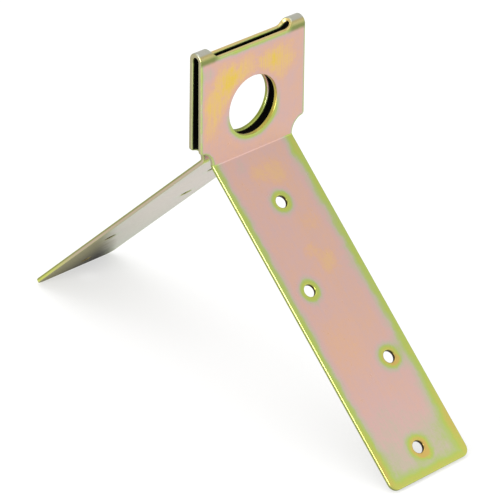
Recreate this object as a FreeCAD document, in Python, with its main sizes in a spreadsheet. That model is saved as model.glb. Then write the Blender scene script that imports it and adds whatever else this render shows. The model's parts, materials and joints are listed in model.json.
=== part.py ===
"""Ridge-type roof bracket: one strip of plated sheet steel, folded double into an eyed head, with two nailing legs.

Frame: origin at the centre of the hook eye, +Z up, X along the ridge (across the strip), Y across the ridge.
The front leg runs down towards -Y and the rear leg towards +Y. Millimetres and degrees.

The strip is modelled in the three regions that can stand at different angles: the head, and the two legs. Each leg
takes with it the rolled bend that joins it to its plate, centred on the line about which it is bent to the roof.
"""

import FreeCAD, Part
import Sketcher
import os
from math import cos, radians, sin

Vector = FreeCAD.Vector

DIMENSIONS = [
    ("sheet_thickness", "2.66", "12 gauge steel sheet"),
    ("head_width", "76.2", "width of the strip at the head"),
    ("fold_radius", "4.75", "outside radius of the fold at the top"),
    ("plate_flare", "0.44", "each plate's lean away from upright"),
    ("crease_depth", "68.7", "top of the fold down to the crease where a leg begins"),
    ("eye_depth", "41.3", "top of the fold down to the centre of the hook eye"),
    ("eye_diameter", "34.9", "hook eye, through both plates"),
    ("ear_width", "8.8", "fold left standing at each end of the slot"),
    ("slot_depth", "4.7", "top of the fold down to the slot's lower edge"),
    ("slot_corner", "5", "radius of the slot's lower corners"),
    ("leg_width", "58.7", "width of the strip at the legs"),
    ("leg_length", "200.7", "crease to the end of the leg, on its upper face"),
    ("leg_angle", "46.3", "leg away from upright, as supplied for a 12 in 12 roof"),
    ("leg_corner", "5", "rounding of the leg's end corners"),
    ("bend_radius", "1.2", "inside radius of the bend at the crease"),
    ("shoulder_round", "2", "rounding of the plate's lower corners above the notches"),
    ("nail_diameter", "7.1", "nail hole"),
    ("nail_first", "32.4", "crease to the first nail hole"),
    ("nail_pitch", "50.8", "nail hole rows along the leg"),
    ("nail_stagger", "12.7", "second and third nail holes off the centre line, to opposite sides"),
    ("run_out", "1", "how far the slot's outline runs on above the fold"),
]

DERIVED = [
    ("fold_centre", "=eye_depth - fold_radius", "height of the fold's axis above the eye"),
    ("bend_angle", "=leg_angle - plate_flare", "turn between a plate and its leg"),
    ("bend_setback", "=bend_radius * tan(bend_angle * 1deg / 2)", "crease to where the bend starts, on either side"),
    ("crease_drop", "=crease_depth - eye_depth", "crease below the eye"),
    ("plate_length", "=(crease_depth - fold_radius * (1 - sin(plate_flare * 1deg))) / cos(plate_flare * 1deg)"
     " - bend_setback", "straight part of a plate's outer face"),
    ("crease_offset", "=fold_radius * cos(plate_flare * 1deg) + (crease_depth - fold_radius * (1 - "
     "sin(plate_flare * 1deg))) * tan(plate_flare * 1deg)", "crease from the middle plane"),
    ("plate_foot", "=crease_drop - bend_setback * cos(plate_flare * 1deg)", "plate's lower end below the eye"),
    ("notch_radius", "=(head_width - leg_width) / 2", "quarter-round notch between head and leg"),
    ("leg_tilt", "=leg_angle - 90", "leg below level"),
]

# places on a sketch's geometry, and its own axes and origin, as constraints number them
START, END, CENTRE = 1, 2, 3
VERTICAL_AXIS = -2
ORIGIN = (-1, 1)

SAME_PLACE = 0.01      # mm
LEAST_CUT = 1.0        # mm3

doc = FreeCAD.newDocument("roof_bracket")
sheet = doc.addObject("Spreadsheet::Sheet", "Sizes")
for row, (alias, content, note) in enumerate(DIMENSIONS + DERIVED, start=1):
    sheet.set(f"A{row}", alias)
    sheet.set(f"B{row}", content)
    sheet.setAlias(f"B{row}", alias)
    sheet.set(f"C{row}", note)
doc.recompute()


def size(alias):
    """A sheet value, for a sketch's first guess before its constraints are solved."""
    return float(sheet.get(alias))


def add_sketch(body, name, plane):
    sketch = body.newObject("Sketcher::SketchObject", name)
    support = next(item for item in body.Origin.OriginFeatures if item.Role == plane)
    sketch.AttachmentSupport = (support, [""])
    sketch.MapMode = "FlatFace"
    return sketch


def bind(sketch, name, constraint, expression):
    """Adds a dimension to a sketch and binds it to the sheet."""
    index = sketch.addConstraint(constraint)
    sketch.renameConstraint(index, name)
    sketch.setExpression(f"Constraints.{name}", expression)


def line(x1, y1, x2, y2):
    return Part.LineSegment(Vector(x1, y1, 0), Vector(x2, y2, 0))


def arc(x, y, radius, first, last):
    """An arc about (x, y), anticlockwise from one angle to the other in degrees."""
    circle = Part.Circle(Vector(x, y, 0), Vector(0, 0, 1), radius)
    return Part.ArcOfCircle(circle, radians(first), radians(last))


def pad(body, name, sketch, length, side):
    feature = body.newObject("PartDesign::Pad", name)
    feature.Profile = sketch
    feature.setExpression("Length", length)
    feature.SideType = side
    return feature


def pocket(body, name, sketch, side):
    """Cuts a sketch right through the body, and makes sure that metal came off."""
    doc.recompute()
    before = body.Shape.Volume
    feature = body.newObject("PartDesign::Pocket", name)
    feature.Profile = sketch
    feature.Type = "ThroughAll"
    feature.SideType = side
    doc.recompute()
    assert body.Shape.Volume < before - LEAST_CUT, name
    return feature


# ---- Head: the strip folded double over the slot, with the hook eye through both plates ----

head = doc.addObject("PartDesign::Body", "head")
head.Label = "head"

flare = size("plate_flare")
outer = size("fold_radius")
inner = outer - size("sheet_thickness")
reach = size("plate_length")
axis_height = size("fold_centre")
profile = add_sketch(head, "fold_profile", "YZ_Plane")


def plate_line(radius, side):
    """A plate's straight face, from the fold down; side is +1 for the rear plate and -1 for the front one."""
    top = side * radius * cos(radians(flare)), axis_height + radius * sin(radians(flare))
    return line(*top, top[0] + side * reach * sin(radians(flare)), top[1] - reach * cos(radians(flare)))


OUTER_ARC, INNER_ARC, REAR_OUTER, REAR_INNER, FRONT_OUTER, FRONT_INNER, REAR_FOOT, FRONT_FOOT = range(8)
faces = [plate_line(outer, 1), plate_line(inner, 1), plate_line(outer, -1), plate_line(inner, -1)]
feet = [Part.LineSegment(faces[i].EndPoint, faces[i + 1].EndPoint) for i in (0, 2)]
arcs = [arc(0, axis_height, radius, flare, 180 - flare) for radius in (outer, inner)]
profile.addGeometry(arcs + faces + feet, False)
profile.addConstraint([
    Sketcher.Constraint("PointOnObject", OUTER_ARC, CENTRE, VERTICAL_AXIS),
    Sketcher.Constraint("Coincident", INNER_ARC, CENTRE, OUTER_ARC, CENTRE),
    Sketcher.Constraint("Tangent", OUTER_ARC, START, REAR_OUTER, START),
    Sketcher.Constraint("Tangent", INNER_ARC, START, REAR_INNER, START),
    Sketcher.Constraint("Tangent", OUTER_ARC, END, FRONT_OUTER, START),
    Sketcher.Constraint("Tangent", INNER_ARC, END, FRONT_INNER, START),
    Sketcher.Constraint("Coincident", REAR_OUTER, END, REAR_FOOT, START),
    Sketcher.Constraint("Coincident", REAR_FOOT, END, REAR_INNER, END),
    Sketcher.Constraint("Coincident", FRONT_OUTER, END, FRONT_FOOT, START),
    Sketcher.Constraint("Coincident", FRONT_FOOT, END, FRONT_INNER, END),
    Sketcher.Constraint("Parallel", REAR_INNER, REAR_OUTER),
    Sketcher.Constraint("Equal", REAR_INNER, REAR_OUTER),
    Sketcher.Constraint("Symmetric", REAR_OUTER, END, FRONT_OUTER, END, VERTICAL_AXIS),
    Sketcher.Constraint("Symmetric", REAR_INNER, END, FRONT_INNER, END, VERTICAL_AXIS),
])
bind(profile, "axis_height", Sketcher.Constraint("DistanceY", *ORIGIN, OUTER_ARC, CENTRE, axis_height),
     "Sizes.fold_centre")
bind(profile, "outside", Sketcher.Constraint("Radius", OUTER_ARC, outer), "Sizes.fold_radius")
bind(profile, "inside", Sketcher.Constraint("Radius", INNER_ARC, inner),
     "Sizes.fold_radius - Sizes.sheet_thickness")
bind(profile, "reach", Sketcher.Constraint("Distance", REAR_OUTER, reach), "Sizes.plate_length")
bind(profile, "lean", Sketcher.Constraint("Angle", REAR_OUTER, radians(flare - 90)),
     "(Sizes.plate_flare - 90) * 1deg")
pad(head, "folded_strip", profile, "Sizes.head_width", "Symmetric")

slot = add_sketch(head, "slot_outline", "XZ_Plane")
half_slot = size("head_width") / 2 - size("ear_width")
floor = size("eye_depth") - size("slot_depth")
corner = size("slot_corner")
clear_top = size("eye_depth") + size("run_out")
LEFT_SIDE, LEFT_CORNER, LOWER_EDGE, RIGHT_CORNER, RIGHT_SIDE, TOP = range(6)
slot.addGeometry([
    line(-half_slot, clear_top, -half_slot, floor + corner),
    arc(corner - half_slot, floor + corner, corner, 180, 270),
    line(corner - half_slot, floor, half_slot - corner, floor),
    arc(half_slot - corner, floor + corner, corner, 270, 360),
    line(half_slot, floor + corner, half_slot, clear_top),
    line(half_slot, clear_top, -half_slot, clear_top),
], False)
slot.addConstraint([
    Sketcher.Constraint("Tangent", LEFT_SIDE, END, LEFT_CORNER, START),
    Sketcher.Constraint("Tangent", LEFT_CORNER, END, LOWER_EDGE, START),
    Sketcher.Constraint("Tangent", LOWER_EDGE, END, RIGHT_CORNER, START),
    Sketcher.Constraint("Tangent", RIGHT_CORNER, END, RIGHT_SIDE, START),
    Sketcher.Constraint("Coincident", RIGHT_SIDE, END, TOP, START),
    Sketcher.Constraint("Coincident", TOP, END, LEFT_SIDE, START),
    Sketcher.Constraint("Horizontal", LOWER_EDGE),
    Sketcher.Constraint("Equal", LEFT_CORNER, RIGHT_CORNER),
    Sketcher.Constraint("Symmetric", RIGHT_SIDE, END, LEFT_SIDE, START, VERTICAL_AXIS),
    Sketcher.Constraint("Vertical", RIGHT_SIDE),
    Sketcher.Constraint("Vertical", LEFT_SIDE),
])
bind(slot, "corner", Sketcher.Constraint("Radius", LEFT_CORNER, corner), "Sizes.slot_corner")
bind(slot, "half_length", Sketcher.Constraint("DistanceX", *ORIGIN, RIGHT_SIDE, END, half_slot),
     "Sizes.head_width / 2 - Sizes.ear_width")
bind(slot, "floor", Sketcher.Constraint("DistanceY", *ORIGIN, LOWER_EDGE, START, floor),
     "Sizes.eye_depth - Sizes.slot_depth")
bind(slot, "clear_top", Sketcher.Constraint("DistanceY", *ORIGIN, RIGHT_SIDE, END, clear_top),
     "Sizes.eye_depth + Sizes.run_out")
pocket(head, "fold_slot", slot, "Symmetric")


def add_circle(sketch, name, x, y, diameter, x_expression, y_expression, diameter_expression):
    """A round hole in a sketch, with its place and size bound to the sheet."""
    index = sketch.addGeometry(Part.Circle(Vector(x, y, 0), Vector(0, 0, 1), diameter / 2), False)
    bind(sketch, f"{name}_x", Sketcher.Constraint("DistanceX", *ORIGIN, index, CENTRE, x), x_expression)
    bind(sketch, f"{name}_y", Sketcher.Constraint("DistanceY", *ORIGIN, index, CENTRE, y), y_expression)
    bind(sketch, f"{name}_across", Sketcher.Constraint("Diameter", index, diameter), diameter_expression)


eye = add_sketch(head, "eye_outline", "XZ_Plane")
eye.addGeometry(Part.Circle(Vector(0, 0, 0), Vector(0, 0, 1), size("eye_diameter") / 2), False)
eye.addConstraint(Sketcher.Constraint("Coincident", 0, CENTRE, *ORIGIN))
bind(eye, "across", Sketcher.Constraint("Diameter", 0, size("eye_diameter")), "Sizes.eye_diameter")
pocket(head, "hook_eye", eye, "Symmetric")

notches = add_sketch(head, "notch_outline", "XZ_Plane")
for name, side in (("right", 1), ("left", -1)):
    add_circle(notches, name, side * size("head_width") / 2, -size("plate_foot"), 2 * size("notch_radius"),
               f"{side} * Sizes.head_width / 2", "-Sizes.plate_foot", "2 * Sizes.notch_radius")
notched = pocket(head, "notches", notches, "Symmetric")

edge_x = size("head_width") / 2
shoulder = size("notch_radius") - size("plate_foot")
shoulders = [
    f"Edge{number}"
    for number, edge in enumerate(head.Shape.Edges, start=1)
    if all(abs(abs(v.X) - edge_x) < SAME_PLACE and abs(v.Z - shoulder) < SAME_PLACE for v in edge.Vertexes)
]
assert len(shoulders) == 4
rounding = head.newObject("PartDesign::Fillet", "shoulder_rounding")
rounding.Base = (notched, shoulders)
rounding.setExpression("Radius", "Sizes.shoulder_round")


# ---- Legs: each a flat strip with four nail holes, and the bend that carries it from its plate ----

def add_leg(name, yaw):
    """
    A leg in its own frame: Y runs down the leg from the crease, Z is square to its upper face, and the metal is below
    Z = 0. The same leg serves both sides, turned half round for the front one.
    """
    leg = doc.addObject("PartDesign::Body", name)
    leg.Label = name

    half_width, length = size("leg_width") / 2, size("leg_length")
    start, corner = size("bend_setback"), size("leg_corner")
    strip = add_sketch(leg, f"{name}_outline", "XY_Plane")
    LEFT_EDGE, TOP_EDGE, RIGHT_EDGE, RIGHT_ROUND, END_EDGE, LEFT_ROUND = range(6)
    strip.addGeometry([
        line(-half_width, length - corner, -half_width, start),
        line(-half_width, start, half_width, start),
        line(half_width, start, half_width, length - corner),
        arc(half_width - corner, length - corner, corner, 0, 90),
        line(half_width - corner, length, corner - half_width, length),
        arc(corner - half_width, length - corner, corner, 90, 180),
    ], False)
    strip.addConstraint([
        Sketcher.Constraint("Coincident", LEFT_EDGE, END, TOP_EDGE, START),
        Sketcher.Constraint("Coincident", TOP_EDGE, END, RIGHT_EDGE, START),
        Sketcher.Constraint("Tangent", RIGHT_EDGE, END, RIGHT_ROUND, START),
        Sketcher.Constraint("Tangent", RIGHT_ROUND, END, END_EDGE, START),
        Sketcher.Constraint("Tangent", END_EDGE, END, LEFT_ROUND, START),
        Sketcher.Constraint("Tangent", LEFT_ROUND, END, LEFT_EDGE, START),
        Sketcher.Constraint("Vertical", LEFT_EDGE),
        Sketcher.Constraint("Vertical", RIGHT_EDGE),
        Sketcher.Constraint("Horizontal", END_EDGE),
        Sketcher.Constraint("Equal", LEFT_ROUND, RIGHT_ROUND),
        Sketcher.Constraint("Symmetric", TOP_EDGE, START, TOP_EDGE, END, VERTICAL_AXIS),
    ])
    bind(strip, "across", Sketcher.Constraint("Distance", TOP_EDGE, 2 * half_width), "Sizes.leg_width")
    bind(strip, "start", Sketcher.Constraint("DistanceY", *ORIGIN, TOP_EDGE, END, start), "Sizes.bend_setback")
    bind(strip, "length", Sketcher.Constraint("DistanceY", *ORIGIN, END_EDGE, START, length), "Sizes.leg_length")
    bind(strip, "corner", Sketcher.Constraint("Radius", RIGHT_ROUND, corner), "Sizes.leg_corner")
    flat = pad(leg, f"{name}_strip", strip, "Sizes.sheet_thickness", "One side")
    flat.Reversed = True

    nails = add_sketch(leg, f"{name}_nail_outline", "XY_Plane")
    for row, stagger in enumerate((0, 1, -1, 0)):
        add_circle(nails, f"nail_{row + 1}", stagger * size("nail_stagger"),
                   size("nail_first") + row * size("nail_pitch"), size("nail_diameter"),
                   f"{stagger} * Sizes.nail_stagger", f"Sizes.nail_first + {row} * Sizes.nail_pitch",
                   "Sizes.nail_diameter")
    pocket(leg, f"{name}_nail_holes", nails, "Symmetric")

    near = size("bend_radius")
    far = near + size("sheet_thickness")
    foot = -90 - size("bend_angle")
    bend = add_sketch(leg, f"{name}_bend_profile", "YZ_Plane")
    at_foot = Vector(cos(radians(foot)), sin(radians(foot)), 0)
    centre = Vector(start, near, 0)
    NEAR_ARC, FAR_ARC, FLAT_SIDE, PLATE_SIDE = range(4)
    bend.addGeometry([
        arc(start, near, near, foot, -90),
        arc(start, near, far, foot, -90),
        line(start, 0, start, near - far),
        Part.LineSegment(centre + at_foot * near, centre + at_foot * far),
    ], False)
    bend.addConstraint([
        Sketcher.Constraint("Coincident", NEAR_ARC, CENTRE, FAR_ARC, CENTRE),
        Sketcher.Constraint("Coincident", NEAR_ARC, END, FLAT_SIDE, START),
        Sketcher.Constraint("Coincident", FAR_ARC, END, FLAT_SIDE, END),
        Sketcher.Constraint("Coincident", NEAR_ARC, START, PLATE_SIDE, START),
        Sketcher.Constraint("Coincident", FAR_ARC, START, PLATE_SIDE, END),
        Sketcher.Constraint("PointOnObject", NEAR_ARC, CENTRE, FLAT_SIDE),
        Sketcher.Constraint("PointOnObject", NEAR_ARC, CENTRE, PLATE_SIDE),
        Sketcher.Constraint("Vertical", FLAT_SIDE),
    ])
    bind(bend, "setback", Sketcher.Constraint("DistanceX", *ORIGIN, NEAR_ARC, CENTRE, start), "Sizes.bend_setback")
    bind(bend, "height", Sketcher.Constraint("DistanceY", *ORIGIN, NEAR_ARC, CENTRE, near), "Sizes.bend_radius")
    bind(bend, "near", Sketcher.Constraint("Radius", NEAR_ARC, near), "Sizes.bend_radius")
    bind(bend, "far", Sketcher.Constraint("Radius", FAR_ARC, far), "Sizes.bend_radius + Sizes.sheet_thickness")
    bind(bend, "turn", Sketcher.Constraint("Angle", PLATE_SIDE, radians(foot)), "(-90 - Sizes.bend_angle) * 1deg")
    pad(leg, f"{name}_bend", bend, "Sizes.leg_width", "Symmetric")

    front_or_rear = 1 if yaw == 0 else -1
    leg.setExpression(
        "Placement",
        f"placement(vector(0; {front_or_rear} * Sizes.crease_offset; -Sizes.crease_drop);"
        f" rotation({yaw}; 0; Sizes.leg_tilt))",
    )
    return leg


rear_leg = add_leg("rear_leg", 0)
front_leg = add_leg("front_leg", 180)


# ---- Checks and files ----

doc.recompute()
for item in doc.Objects:
    assert not {"Invalid", "Error"} & set(item.State), item.Name

os.makedirs("parts", exist_ok=True)
for body in (head, front_leg, rear_leg):
    shape = body.Shape
    assert not shape.isNull() and shape.isValid() and len(shape.Solids) == 1, body.Label
    shape.exportStep(f"parts/{body.Label}.step")
    box = shape.BoundBox
    print(f"{body.Label}: {shape.Volume:.1f} mm3, X {box.XMin:.2f} to {box.XMax:.2f},"
          f" Y {box.YMin:.2f} to {box.YMax:.2f}, Z {box.ZMin:.2f} to {box.ZMax:.2f}")
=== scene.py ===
import json
from math import acos, atan2, cos, pi, radians, sin

import bmesh
import bpy
from mathutils import Matrix, Vector


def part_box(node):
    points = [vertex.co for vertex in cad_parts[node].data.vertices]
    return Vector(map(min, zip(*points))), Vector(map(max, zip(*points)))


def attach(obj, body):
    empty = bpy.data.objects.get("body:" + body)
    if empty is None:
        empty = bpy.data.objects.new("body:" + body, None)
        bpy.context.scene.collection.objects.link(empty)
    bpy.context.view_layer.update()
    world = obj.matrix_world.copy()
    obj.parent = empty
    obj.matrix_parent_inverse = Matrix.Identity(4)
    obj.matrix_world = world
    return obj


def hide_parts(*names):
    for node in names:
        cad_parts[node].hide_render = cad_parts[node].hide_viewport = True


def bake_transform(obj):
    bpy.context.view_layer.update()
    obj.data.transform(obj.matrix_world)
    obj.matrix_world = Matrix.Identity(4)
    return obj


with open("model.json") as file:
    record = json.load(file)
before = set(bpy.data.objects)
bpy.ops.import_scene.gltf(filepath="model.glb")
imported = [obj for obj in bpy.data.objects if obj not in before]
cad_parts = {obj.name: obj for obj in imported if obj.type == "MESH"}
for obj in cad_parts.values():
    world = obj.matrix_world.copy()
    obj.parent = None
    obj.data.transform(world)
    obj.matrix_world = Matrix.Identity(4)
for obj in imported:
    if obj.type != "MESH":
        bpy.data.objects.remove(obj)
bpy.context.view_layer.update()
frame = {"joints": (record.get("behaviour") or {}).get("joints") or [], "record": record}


# ---- The punched blank ----
# The bracket starts as one flat strip of 12 gauge steel, sheared and punched: a long slot where it will fold,
# a hook eye on each side of the slot, a quarter-round notch at each shoulder and four nail holes in each leg.
# It lies in the XY plane, with Y measured along the sheet's neutral line from the middle of the fold.

MM = 0.001
mounts = {mount["name"]: mount for mount in frame["record"]["mounts"]}
joints = {joint["name"]: joint for joint in frame["joints"]}

sheet = 2.66 * MM
fold_radius = 4.75 * MM
flare = radians(0.44)
ear_width = 8.8 * MM
slot_width = 10.7 * MM
slot_off_centre = 0.33 * MM
leg_corner = 5 * MM
shoulder_round = 2 * MM
edge_round = 0.7 * MM

head_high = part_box("head")[1]
leg_low, leg_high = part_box("rear_leg")
half_head = head_high.x
half_leg = leg_high.x
notch = half_head - half_leg
fold_top = head_high.z
eye_radius = mounts["hook_eye"]["dims"]["r_mm"] * MM

# each leg's nails stand at an even pitch along it, the outer two on its middle line and the inner two off it
nail_radius = mounts["rear_end_nails"]["dims"]["hole_r_mm"] * MM
nail_pitch = mounts["rear_end_nails"]["dims"]["pcd_mm"] * MM / 3
stagger_reach = mounts["rear_staggered_nails"]["dims"]["pcd_mm"] * MM / 2
nail_stagger = (stagger_reach ** 2 - (nail_pitch / 2) ** 2) ** 0.5

# the rear bend, seen along X: its centre line, the leg's direction and the radius of its neutral line
hinge = Vector(joints["rear_bend"]["pos_m"])
leg_up = Vector(mounts["rear_roof_face"]["axis"]) * -1
leg_angle = atan2(leg_up.z, leg_up.y)
leg_down = Vector((0, sin(leg_angle), -cos(leg_angle)))
roof_face = Vector(mounts["rear_roof_face"]["pos_m"])
neutral_bend = (hinge - roof_face).dot(leg_up) - sheet / 2
bend_angle = leg_angle - flare
nail_middle = (roof_face - hinge).dot(leg_down)
leg_reach = (leg_high.y - hinge.y + (neutral_bend - sheet / 2) * cos(leg_angle)) / sin(leg_angle)

# the fold, and how far along the neutral line each stretch of the strip ends
fold_axis = Vector((0, 0, fold_top - fold_radius))
neutral_fold = fold_radius - sheet / 2
plate_down = Vector((0, sin(flare), -cos(flare)))
plate_out = Vector((0, cos(flare), sin(flare)))
fold_end = neutral_fold * (pi / 2 - flare)
plate_end = fold_end + (hinge - fold_axis).dot(plate_down)
bend_end = plate_end + neutral_bend * bend_angle
strip_end = bend_end + leg_reach
eye_along = fold_end + fold_axis.dot(-plate_down)
slot_half = slot_width / 2
slot_round_x = half_head - ear_width - slot_half

# how many straight runs draw each curve
shoulder_steps = 8
notch_steps = 14
corner_steps = 12
slot_end_steps = 40
eye_steps = 96
nail_steps = 40
rim_steps = 5
fold_steps = 14
bend_steps = 18

# how near, in metres, two points or a point and a cut count as touching, and how small a sliver is closed up
same_point = 1e-7
on_the_cut = 1e-8
sliver = 1e-6


def extrude_to(bm, tip, x, y):
    """Draws a straight edge from the tip vertex to a point."""
    new = bmesh.ops.extrude_vert_indiv(bm, verts=[tip])["verts"][0]
    new.co = (x, y, 0)
    return new


def spin_about(bm, tip, x, y, angle, steps):
    """Draws an arc from the tip vertex about a centre."""
    spun = bmesh.ops.spin(bm, geom=[tip], cent=(x, y, 0), axis=(0, 0, 1), angle=angle, steps=steps)
    return next(item for item in spun["geom_last"] if isinstance(item, bmesh.types.BMVert))


def punch_round(bm, x, y, radius, steps):
    """Draws the outline of a round hole."""
    bmesh.ops.create_circle(bm, radius=radius, segments=steps, matrix=Matrix.Translation((x, y, 0)))


blank = bmesh.new()

# the sheared and notched outline: a quarter of it, from the middle of an ear to the middle of a leg's end
shoulder_along = plate_end - ((notch + shoulder_round) ** 2 - shoulder_round ** 2) ** 0.5
shoulder_turn = acos(shoulder_round / (notch + shoulder_round))
tip = blank.verts.new((half_head, 0, 0))
tip = extrude_to(blank, tip, half_head, shoulder_along)
tip = spin_about(blank, tip, half_head - shoulder_round, shoulder_along, shoulder_turn, shoulder_steps)
tip = spin_about(blank, tip, half_head, plate_end, -shoulder_turn, notch_steps)
tip = extrude_to(blank, tip, half_leg, strip_end - leg_corner)
tip = spin_about(blank, tip, half_leg - leg_corner, strip_end - leg_corner, pi / 2, corner_steps)
extrude_to(blank, tip, 0, strip_end)
bmesh.ops.mirror(blank, geom=blank.verts[:] + blank.edges[:], axis="Y", merge_dist=same_point)

# the slot, half of it from the middle of one long side round to the other, a little nearer the rear eye
tip = blank.verts.new((0, slot_off_centre + slot_half, 0))
tip = extrude_to(blank, tip, slot_round_x, slot_off_centre + slot_half)
tip = spin_about(blank, tip, slot_round_x, slot_off_centre, -pi, slot_end_steps)
extrude_to(blank, tip, 0, slot_off_centre - slot_half)
bmesh.ops.mirror(blank, geom=blank.verts[:] + blank.edges[:], axis="X", merge_dist=same_point)

# the hook eyes, and four nail holes in each leg, one end's pattern being the other's turned half round
nail_rows = [(0, -1.5), (nail_stagger, -0.5), (-nail_stagger, 0.5), (0, 1.5)]
nail_places = [(nail_x, bend_end + nail_middle + row * nail_pitch) for nail_x, row in nail_rows]
for half_turn in (1, -1):
    punch_round(blank, 0, half_turn * eye_along, eye_radius, eye_steps)
    for nail_x, nail_along in nail_places:
        punch_round(blank, half_turn * nail_x, half_turn * nail_along, nail_radius, nail_steps)

# the metal between the outlines gets its thickness
bmesh.ops.triangle_fill(blank, edges=blank.edges[:], use_beauty=True, normal=(0, 0, 1))
bmesh.ops.translate(blank, verts=blank.verts[:], vec=(0, 0, -sheet / 2))
raised = bmesh.ops.extrude_face_region(blank, geom=blank.faces[:], use_keep_orig=True)["geom"]
raised = [item for item in raised if isinstance(item, bmesh.types.BMVert)]
bmesh.ops.translate(blank, verts=raised, vec=(0, 0, sheet))
bmesh.ops.recalc_face_normals(blank, faces=blank.faces[:])

# its rims get the small round that punching and barrelling leave; a rim is level and turns by a right angle
least_rim_turn = radians(60)
rims = [edge for edge in blank.edges
        if edge.calc_face_angle() > least_rim_turn and edge.verts[0].co.z == edge.verts[1].co.z]
bmesh.ops.bevel(blank, geom=rims, offset=edge_round, segments=rim_steps, profile=0.5, affect="EDGES",
                material=-1, loop_slide=False)

# crosswise cuts where the strip will curve, and here and there along its flats
flat_step = 8 * MM
stations = [fold_end * step / fold_steps for step in range(fold_steps + 1)]
stations += [plate_end + (bend_end - plate_end) * step / bend_steps for step in range(bend_steps + 1)]
for start, end in ((fold_end, plate_end), (bend_end, strip_end)):
    count = int((end - start) / flat_step)
    stations += [start + (end - start) * step / count for step in range(1, count)]
for cut_along in sorted({half * station for station in stations for half in (1, -1)}):
    bmesh.ops.bisect_plane(blank, geom=blank.verts[:] + blank.edges[:] + blank.faces[:], dist=on_the_cut,
                           plane_co=(0, cut_along, 0), plane_no=(0, 1, 0))

# slivers that the cuts leave beside the rims are closed up
bmesh.ops.dissolve_degenerate(blank, dist=sliver, edges=blank.edges[:])
bmesh.ops.remove_doubles(blank, verts=blank.verts[:], dist=sliver * 2)

# every point keeps its place in the flat blank, in millimetres, so that the plating's colours follow the
# strip round its bends
flat_place = blank.verts.layers.float_vector.new("flat_place")
for vert in blank.verts:
    vert[flat_place] = vert.co / MM


# ---- The yellow zinc plating ----
# The finished strip is zinc plated and dipped in a yellow chromate. The film is thin and shows interference
# colours: pale gold and salmon over the flats, and greener where it is thicker, along every cut edge and
# round every hole.


class Wire:
    """An output of a material's node. Arithmetic on it adds Math nodes, and node() adds any other node."""

    def __init__(self, socket):
        self.socket = socket

    def node(self, kind, settings=None, inputs=None, output=0):
        """Adds a node to the same material: its settings first, then its sockets' values or links."""
        tree = self.socket.id_data
        added = tree.nodes.new(kind)
        for name, value in (settings or {}).items():
            if name == "stops":
                ramp = added.color_ramp.elements
                while len(ramp) < len(value):
                    ramp.new(1)
                for stop, (position, colour) in zip(ramp, value):
                    stop.position = position
                    stop.color = colour
            else:
                setattr(added, name, value)
        for name, value in (inputs or {}).items():
            socket = self.in_use(added.inputs, name)
            if isinstance(value, Wire):
                tree.links.new(value.socket, socket)
            else:
                socket.default_value = value
        return Wire(self.in_use(added.outputs, output))

    @staticmethod
    def in_use(sockets, name):
        """A node's socket by number, or by name among those that its settings leave in use."""
        if isinstance(name, int):
            return sockets[name]
        return next(socket for socket in sockets if socket.name == name and socket.enabled)

    def math(self, operation, *others):
        return self.node("ShaderNodeMath", {"operation": operation}, dict(enumerate((self, *others))))

    def __add__(self, other):
        return self.math("ADD", other)

    def __mul__(self, other):
        return self.math("MULTIPLY", other)

    def __sub__(self, other):
        return self.math("SUBTRACT", other)

    def __rsub__(self, other):
        return (self * -1).math("ADD", other)

    def __truediv__(self, other):
        return self.math("DIVIDE", other)

    __radd__ = __add__
    __rmul__ = __mul__

    def __abs__(self):
        return self.math("ABSOLUTE")

    def least(self, *others):
        found = self
        for other in others:
            found = found.math("MINIMUM", other)
        return found

    def most(self, other):
        return self.math("MAXIMUM", other)

    def between(self, low, high):
        """0 at low and beyond it, 1 at high and beyond it, smooth in between. Either may be the larger."""
        return self.node("ShaderNodeMapRange", {"interpolation_type": "SMOOTHSTEP"},
                         {"Value": self, "From Min": low, "From Max": high})


def screen_colour(red, green, blue, alpha=1):
    """A display colour, 0 to 255, as the linear light that a shader works in."""
    parts = [part / 255 for part in (red, green, blue)]
    return [part / 12.92 if part <= 0.04045 else ((part + 0.055) / 1.055) ** 2.4 for part in parts] + [alpha]


plating = bpy.data.materials.new("yellow_zinc_plating")
plating.use_nodes = True
tree = plating.node_tree
shader = tree.nodes["Principled BSDF"]
place_node = tree.nodes.new("ShaderNodeAttribute")
place_node.attribute_name = "flat_place"
place = Wire(place_node.outputs["Vector"])
x, along, height = (place.node("ShaderNodeSeparateXYZ", None, {"Vector": place}, axis) for axis in "XYZ")

# Every distance in the plating is in millimetres of the flat blank. The two ends of the strip are alike,
# turned half round, so both are measured on the rear one's terms: across it and down it.
end = along.math("SIGN")
across = x * end
down = abs(along)
side = abs(x)
fold_down = fold_end / MM
eye_down = eye_along / MM
shoulder_down = plate_end / MM
crease_down = bend_end / MM
tip_down = strip_end / MM


def far_from(centre, radius, across=across, down=down):
    """Distance outside a round outline of the blank, whose centre and radius are in metres."""
    run = (across - centre[0] / MM).math("POWER", 2) + (down - centre[1] / MM).math("POWER", 2)
    return run.math("SQRT") - radius / MM


# how far each point is from the cut edges
in_leg = down.math("GREATER_THAN", shoulder_down)
head_gap = far_from((half_head, plate_end), notch, across=side).least(half_head / MM - side)
near_side_gap = half_leg / MM - across
far_side_gap = half_leg / MM + across
end_gap = tip_down - down
eye_gap = far_from((0, eye_along), eye_radius)
beyond_straight = (side - slot_round_x / MM).most(0) + slot_round_x / MM
slot_gap = far_from((slot_round_x, slot_off_centre), slot_half, across=beyond_straight, down=along)
nail_gaps = [far_from(nail, nail_radius) for nail in nail_places]
nail_gap = nail_gaps[0].least(*nail_gaps[1:])


def noise(scale, detail, roughness, where=place):
    """Soft noise around a half, its scale in waves to the millimetre."""
    return place.node("ShaderNodeTexNoise", None,
                      {"Vector": where, "Scale": scale, "Detail": detail, "Roughness": roughness})


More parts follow.
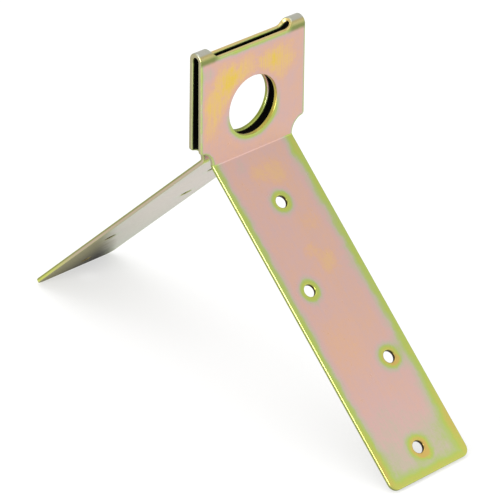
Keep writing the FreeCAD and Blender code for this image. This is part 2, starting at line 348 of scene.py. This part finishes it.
stretched = place.node("ShaderNodeVectorMath", {"operation": "MULTIPLY"}, {0: place, 1: (1, 0.03, 1)})
cloud = noise(0.05, 3, 0.55)
mottle = noise(0.45, 3, 0.65)
streaks = noise(1.3, 2, 0.5, where=stretched)
ragged = (noise(0.11, 3, 0.6) - 0.5) * 9 + (mottle - 0.5) * 4


def halo(gap, reach, depth):
    """Thicker film beside a cut edge, thinning quickly at first and then slowly out to its reach."""
    return (gap.between(reach * 0.55, reach * 0.15) * 0.6 + gap.between(reach, reach * 0.3) * 0.4) * depth


def pool(across_centre, down_centre, reach, depth):
    """A round patch of thicker or thinner film, ragged at its rim."""
    away = far_from((across_centre * MM, down_centre * MM), 0) + ragged
    return away.between(reach, reach * 0.15) * depth


# How thick the film is: 0 where it is thinnest and gold, 1 where it is thickest and orange again.
# On the head it is thicker at the sides, along the slot and round the eye, most of all below the eye.
head_flat_film = 0.43
above_eye = (eye_down - down).between(-12, 4)
head_film = head_flat_film + halo(head_gap, reach=3, depth=0.3)
head_film = head_film + halo(slot_gap + ragged * 0.1, reach=5, depth=0.3)
head_film = head_film + halo(eye_gap + ragged * 0.12, reach=6, depth=1) * (0.36 - above_eye * 0.26)

# its patches, where it dried thinner or thicker: X on the front plate, down from the eye, reach and depth
head_patches = (
    (-19, -20, 13, -0.34), (-27, -9, 14, -0.25), (-31, 6, 10, -0.12), (-6, -25, 13, -0.17),
    (10, -23, 12, -0.18), (20, -21, 15, -0.24), (27, -9, 8, 0.06), (-33, -29, 8, 0.12), (-10, -35, 9, 0.08),
    (22, 14, 12, 0.03),
)
for patch_x, below_eye, reach, depth in head_patches:
    head_film = head_film + pool(-patch_x, eye_down + below_eye, reach, depth)

# and where it is thin, it is drawn out in streaks
head_film = head_film + (streaks - 0.5) * 0.4 * (0.5 - head_film).between(0.05, 0.3)

# on a leg it is thicker along the sides, at the end, round the nails and where the solution ran off
leg_flat_film = 0.45
run_off = down.between(tip_down - 60, tip_down - 10)
near_halo = halo(near_side_gap + ragged * 0.4, reach=9, depth=0.32)
far_halo = halo(far_side_gap + ragged * 0.6, reach=13, depth=0.35)
end_halo = halo(end_gap + ragged * 0.4, reach=10, depth=0.28)
leg_film = leg_flat_film + near_halo.most(far_halo).most(end_halo) + run_off * 0.13
leg_film = leg_film + halo(nail_gap + ragged * 0.15, reach=7.5, depth=0.4)

# the legs' patches: X on the front leg, down from the crease, reach and depth
leg_patches = (
    (6, 15, 13, -0.15), (-6, 12, 8, -0.11), (-12, 6, 8, 0.08), (2, 64, 7, -0.12), (9, 72, 9, -0.13),
    (11, 48, 9, -0.08), (14.6, 135.6, 6, 0.22), (2.6, 188, 6.5, 0.24), (-23, 186, 16, 0.06), (26, 6, 9, 0.1),
    (16, 180, 20, 0.05), (14, 133, 22, 0.06), (-10, 120, 26, -0.05),
)
for patch_x, below_crease, reach, depth in leg_patches:
    leg_film = leg_film + pool(-patch_x, crease_down + below_crease, reach, depth)

# the whole strip's film, a little uneven, and its interference colours from the thinnest to the thickest
film = head_film * (1 - in_leg) + leg_film * in_leg
film = film + (cloud - 0.5) * 0.18 + (mottle - 0.5) * 0.16 + (streaks - 0.5) * 0.1
film_colour = film.node("ShaderNodeValToRGB", {"stops": [
    (0.00, screen_colour(224, 192, 86)),
    (0.20, screen_colour(224, 186, 126)),
    (0.38, screen_colour(217, 174, 150)),
    (0.50, screen_colour(209, 173, 166)),
    (0.60, screen_colour(192, 181, 160)),
    (0.70, screen_colour(176, 188, 124)),
    (0.80, screen_colour(175, 191, 96)),
    (0.90, screen_colour(188, 187, 94)),
    (1.00, screen_colour(203, 172, 96)),
]}, {"Fac": film})


def blended(share, first, second):
    """One colour turning into another as the share goes from 0 to 1."""
    return place.node("ShaderNodeMix", {"data_type": "RGBA"},
                      {"Factor": share, "A": first, "B": second}, "Result")


# over the fold the ears' colour is painted reflection: pale grey on top where the curve mirrors the sky,
# turning to gold and then olive where the ears meet the plates
ear_top_sky_reflection = screen_colour(176, 177, 164)
ear_gold_reflection = screen_colour(180, 168, 112)
ear_olive_reflection = screen_colour(124, 136, 74)
slot_end_side = (slot_round_x + slot_half) / MM
on_fold = (down - ragged * 0.15).between(fold_down + 2.8, fold_down + 0.2)
painted_ear_share = on_fold * (side - slot_end_side).between(-6, 0)
ear_painted_reflection = blended(down.between(2.9, 4.9), ear_gold_reflection, ear_olive_reflection)
ear_painted_reflection = blended(down.between(2.9, 1.9), ear_painted_reflection, ear_top_sky_reflection)
# the ears get the painted reflection over the film's colour
colour = blended(painted_ear_share * 0.95, film_colour, ear_painted_reflection)

# The walls that the shear and the punches leave are duller: olive on one long side, beige to green on the
# other, khaki at the head's sides, gold in the slot and gold and olive in the eyes. In the nail holes they
# are painted dark brown, painted shade inside the narrow holes.
near_wall = screen_colour(134, 141, 80)
far_wall_beige = screen_colour(170, 155, 132)
far_wall_green = screen_colour(184, 190, 92)
head_wall = screen_colour(152, 146, 114)
slot_wall = screen_colour(204, 182, 118)
front_eye_wall = screen_colour(176, 160, 74)
rear_eye_wall = screen_colour(128, 136, 56)
# painted shade: the nail holes' walls are painted dark brown
nail_hole_shade = screen_colour(56, 44, 22)
far_side = (across / -20).between(-0.3, 0.3)
wall = 1 - (abs(height) - far_side * 0.25).between(0.5, 1.15)
wall_colour = blended(far_side, near_wall, blended(run_off, far_wall_beige, far_wall_green))
wall_colour = blended((1 - head_gap.between(0, 2)) * (1 - in_leg), wall_colour, head_wall)
wall_colour = blended(1 - slot_gap.between(0.5, 1.5), wall_colour, slot_wall)
eye_wall = blended(end.most(0), front_eye_wall, rear_eye_wall)
wall_colour = blended(1 - eye_gap.between(0.5, 1.5), wall_colour, eye_wall)
# the nail holes' walls take the painted shade
wall_colour = blended(1 - nail_gap.between(0.5, 1.5), wall_colour, nail_hole_shade)
colour = blended(wall, colour, wall_colour)

# painted shade: the legs' far rims are painted with a dark olive line
far_rim_shade_colour = screen_colour(118, 124, 60)
far_rim_shade = far_side_gap.between(0.6, 0.1) * height.between(0, 0.5) * in_leg
colour = blended(far_rim_shade * 0.8, colour, far_rim_shade_colour)

# between the plates the inner faces are painted near black: painted shade, as hardly any light gets into the
# gap
gap_shade_colour = screen_colour(14, 11, 6)
inner = height.between(-0.8, -1.2)
between_plates = inner * (1 - down.between(shoulder_down - 7, shoulder_down))
gap_shade = between_plates * head_gap.least(eye_gap, slot_gap).between(0.2, 1.2)
# painted shade in the gap between the plates
colour = blended(gap_shade, colour, gap_shade_colour)

# the legs' undersides are painted pale, a painted reflection of the bright floor, and dark olive at the
# corner nearest the floor, a painted reflection of the floor's shadow under the leg
upper_pale_reflection = screen_colour(172, 167, 152)
lower_pale_reflection = screen_colour(148, 154, 130)
corner_shadow_khaki = screen_colour(122, 118, 84)
corner_shadow_olive = screen_colour(24, 20, 6)
underside = inner * down.between(shoulder_down, shoulder_down + 6)
# painted reflection of the floor's shadow under the leg, darkest at the corner nearest the floor
shadow_reflection = underside * (down - across * 1.55 + ragged).between(crease_down + 144, crease_down + 172)
underside_reflection = blended(down.between(crease_down + 50, crease_down + 170), upper_pale_reflection, lower_pale_reflection)
shadow_reflection_colour = blended(across.between(-30, 16), corner_shadow_khaki, corner_shadow_olive)
# painted reflection: the undersides are painted pale
colour = blended(underside * 0.85, colour, underside_reflection)
colour = blended(shadow_reflection, colour, shadow_reflection_colour)

# the film shines like the metal under it, and is duller on the walls, between the plates and where the
# floor's shadow is painted in as a dark reflection
flat_roughness = 0.3
metallic = (1 - shadow_reflection) * 0.95
roughness = flat_roughness + (mottle - 0.5) * 0.12 + wall * 0.1 + gap_shade * 0.5 + shadow_reflection * 0.55
relief = place.node("ShaderNodeBump", None,
                    {"Height": streaks + mottle * 0.4, "Strength": 0.12, "Distance": 0.05 * MM}, "Normal")
tree.links.new(colour.socket, shader.inputs["Base Color"])
tree.links.new(metallic.socket, shader.inputs["Metallic"])
tree.links.new(roughness.socket, shader.inputs["Roughness"])
tree.links.new(relief.socket, shader.inputs["Normal"])


# ---- The head: two plates under one fold ----
# The strip is folded double over the slot, so that two ears are left at the top and both hook eyes line up.
# Each plate ends in the notched shoulders, just above the bend into its leg.

seam_above_bend = 1.5 * MM
seam = plate_end - seam_above_bend
sharp_turn = radians(40)


def cut_from_blank(low, high):
    """A copy of the blank between two places along it, its cut faces closed. None is the blank's own end."""
    piece = blank.copy()
    for cut_along, keep in ((low, -1), (high, 1)):
        if cut_along is None:
            continue
        cut = bmesh.ops.bisect_plane(piece, geom=piece.verts[:] + piece.edges[:] + piece.faces[:],
                                     dist=on_the_cut, plane_co=(0, cut_along, 0), plane_no=(0, keep, 0),
                                     clear_outer=True)
        rim = [item for item in cut["geom_cut"] if isinstance(item, bmesh.types.BMEdge)]
        bmesh.ops.triangle_fill(piece, edges=rim, use_beauty=True)
    return piece


def folded_place(flat):
    """Where a point of the flat blank ends up once the strip is folded and bent."""
    rear = 1 if flat.y >= 0 else -1
    run = abs(flat.y)
    if run <= fold_end:
        turn = run / neutral_fold
        folded = fold_axis + Vector((0, sin(turn), cos(turn))) * (neutral_fold + flat.z)
    elif run <= plate_end:
        folded = fold_axis + plate_down * (run - fold_end) + plate_out * (neutral_fold + flat.z)
    else:
        turn = flare + min((run - plate_end) / neutral_bend, bend_angle)
        facing = Vector((0, cos(turn), sin(turn)))
        folded = hinge - facing * (neutral_bend - flat.z) + leg_down * max(run - bend_end, 0)
    return Vector((flat.x, rear * folded.y, folded.z))


def fold_up(name, low, high):
    """Cuts a piece from the blank, folds it into place, plates it and returns its object."""
    piece = cut_from_blank(low, high)
    for vert in piece.verts:
        vert.co = folded_place(vert.co)
    bmesh.ops.recalc_face_normals(piece, faces=piece.faces[:])
    for face in piece.faces:
        face.smooth = True
    for edge in piece.edges:
        edge.smooth = edge.calc_face_angle(0) < sharp_turn
    mesh = bpy.data.meshes.new(name)
    piece.to_mesh(mesh)
    piece.free()
    mesh.materials.append(plating)
    made = bpy.data.objects.new(name, mesh)
    bpy.context.scene.collection.objects.link(made)
    shading = made.modifiers.new("flat faces stay flat", "WEIGHTED_NORMAL")
    shading.keep_sharp = True
    return made


head_plates = fold_up("head_plates", -seam, seam)
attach(head_plates, "head")
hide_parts("head")


# ---- The legs ----
# Each leg is the strip's long end, bent outwards from its plate in the press brake. Whoever fits the bracket
# opens the bend by hand. Each leg's strip starts just above its bend and runs down the leg from there.

rear_leg_strip = fold_up("rear_leg_strip", seam, None)
front_leg_strip = fold_up("front_leg_strip", None, -seam)
for strip, leg, rear in ((rear_leg_strip, "rear_leg", 1), (front_leg_strip, "front_leg", -1)):
    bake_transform(strip)
    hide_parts(leg)
blank.free()


# ---- The floor and the light ----
# A pale matt floor at the legs' feet, and the soft light of a white room. It has one big lamp overhead, a
# small strong one low and far out at the left, and a weak one at the front right.

floor_half = 20
floor_grey = 0.42
floor_glow = 0.55
room_light = 0.93

floor_sheet = bmesh.new()
bmesh.ops.create_grid(floor_sheet, x_segments=1, y_segments=1, size=floor_half)
bmesh.ops.translate(floor_sheet, verts=floor_sheet.verts[:], vec=(0, 0, leg_low.z))
floor_mesh = bpy.data.meshes.new("floor")
floor_sheet.to_mesh(floor_mesh)
floor_sheet.free()
floor = bpy.data.objects.new("floor", floor_mesh)
bpy.context.scene.collection.objects.link(floor)

floor_paint = bpy.data.materials.new("pale_floor")
floor_paint.use_nodes = True
floor_shader = floor_paint.node_tree.nodes["Principled BSDF"]
floor_shader.inputs["Base Color"].default_value = (floor_grey, floor_grey, floor_grey, 1)
floor_shader.inputs["Roughness"].default_value = 1
floor_shader.inputs["Specular IOR Level"].default_value = 0
floor_shader.inputs["Emission Color"].default_value = (1, 1, 1, 1)
floor_shader.inputs["Emission Strength"].default_value = floor_glow
floor_mesh.materials.append(floor_paint)

room = bpy.data.worlds.new("white_room")
room.use_nodes = True
room_shader = room.node_tree.nodes["Background"]
room_shader.inputs["Color"].default_value = (1, 1, 1, 1)
room_shader.inputs["Strength"].default_value = room_light
bpy.context.scene.world = room
bpy.context.scene.view_settings.view_transform = "Standard"


def add_softbox(name, stand, target, size, power):
    """A square lamp that stands at one point and faces another. Places and size in metres, power in watts."""
    lamp = bpy.data.lights.new(name, "AREA")
    lamp.size = size
    lamp.energy = power
    box = bpy.data.objects.new(name, lamp)
    box.location = stand
    box.rotation_euler = (Vector(target) - Vector(stand)).to_track_quat("-Z", "Y").to_euler()
    bpy.context.scene.collection.objects.link(box)


add_softbox("overhead_softbox", stand=(0, 0.3, 1.8), target=(0, 0, -0.1), size=1.6, power=9)
add_softbox("left_softbox", stand=(-1.82, -0.08, 0.21), target=(0, -0.08, -0.1), size=0.8, power=40)
add_softbox("front_softbox", stand=(0.9, -1.15, 0.33), target=(0, 0, 0), size=0.9, power=1.3)


# ---- The camera ----
# A long lens, well above the bracket and to the left of its front leg, aimed at a point below the fold.

azimuth = radians(43.2048)
elevation = radians(29.5362)
roll = radians(0.8625)
distance = 1.91318
sensor_width = 36
focal_length = 6.8793 * sensor_width
aim_side = 3.678 * MM
aim_below_fold = 135.036 * MM
aim = Vector((aim_side, 0, fold_top - aim_below_fold))

back = Vector((-sin(azimuth) * cos(elevation), -cos(azimuth) * cos(elevation), sin(elevation)))
right = (-back).cross(Vector((0, 0, 1))).normalized()
up = right.cross(-back)
turned_right = right * cos(roll) + up * sin(roll)
turned_up = up * cos(roll) - right * sin(roll)
camera = bpy.data.cameras.new("camera")
camera.lens = focal_length
camera.sensor_width = sensor_width
camera_object = bpy.data.objects.new("camera", camera)
camera_object.matrix_world = Matrix.Translation(aim + back * distance) @ Matrix(
    (turned_right, turned_up, back)).transposed().to_4x4()
bpy.context.scene.collection.objects.link(camera_object)
bpy.context.scene.camera = camera_object
